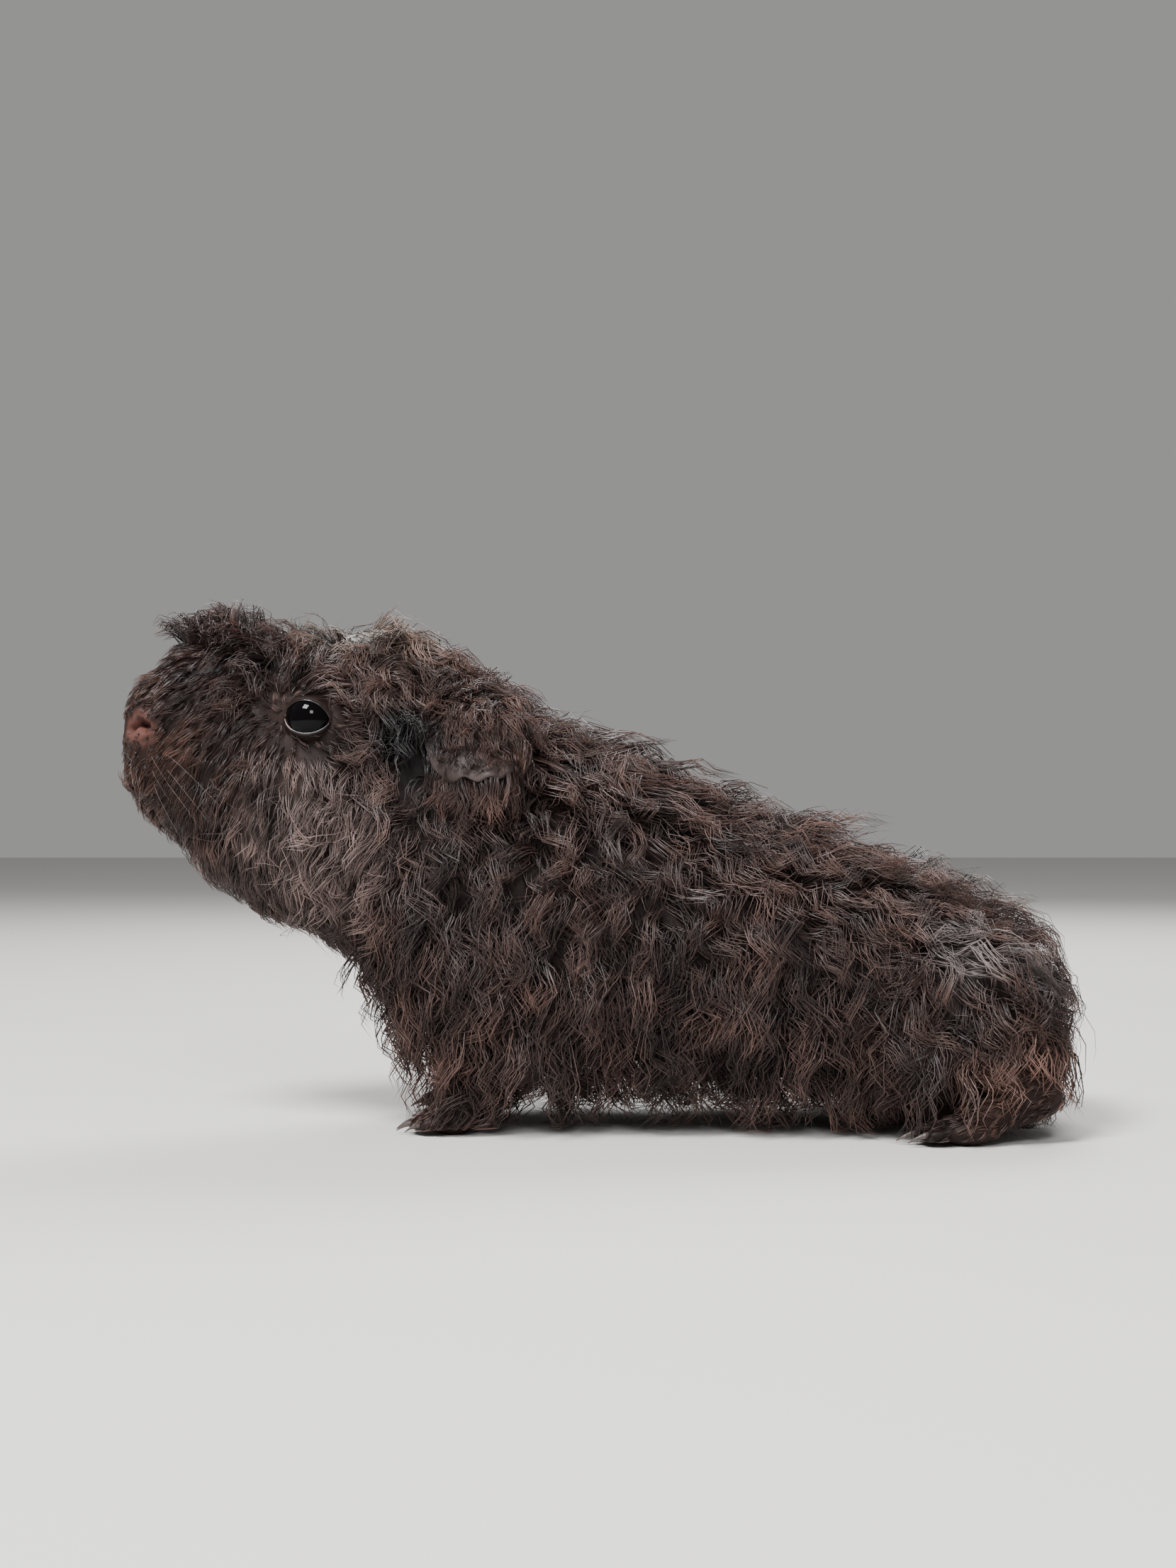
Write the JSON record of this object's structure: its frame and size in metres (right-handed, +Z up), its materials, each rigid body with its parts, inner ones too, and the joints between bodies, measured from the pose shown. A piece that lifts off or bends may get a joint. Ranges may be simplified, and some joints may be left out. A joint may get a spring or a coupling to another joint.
{
  "type": "guinea pig",
  "caption": "Life-size young merino guinea pig, standing still with its head raised, in a dark chocolate curly coat.",
  "frame": {"origin": "bottom centre of the whole animal, on the floor under the middle of its length", "axes": "-X towards the nose, +X towards the rump, +Y towards the animal's right side, +Z up"},
  "size_m": [0.1518, 0.0602, 0.0803],
  "materials": {
    "coat": "dark chocolate, soft curly fur",
    "ear_skin": "thin, soft, short-haired skin",
    "eye": "wet and glossy"
  },
  "bodies": {
    "root": {"head": "coat", "neck": "coat", "torso": "coat", "rump": "coat", "foreleg_left": "coat", "foreleg_right": "coat", "hindleg_left": "coat", "hindleg_right": "coat", "ear_left": "ear_skin", "ear_right": "ear_skin", "eye_left": "eye", "eye_right": "eye"}
  },
  "joints": []
}
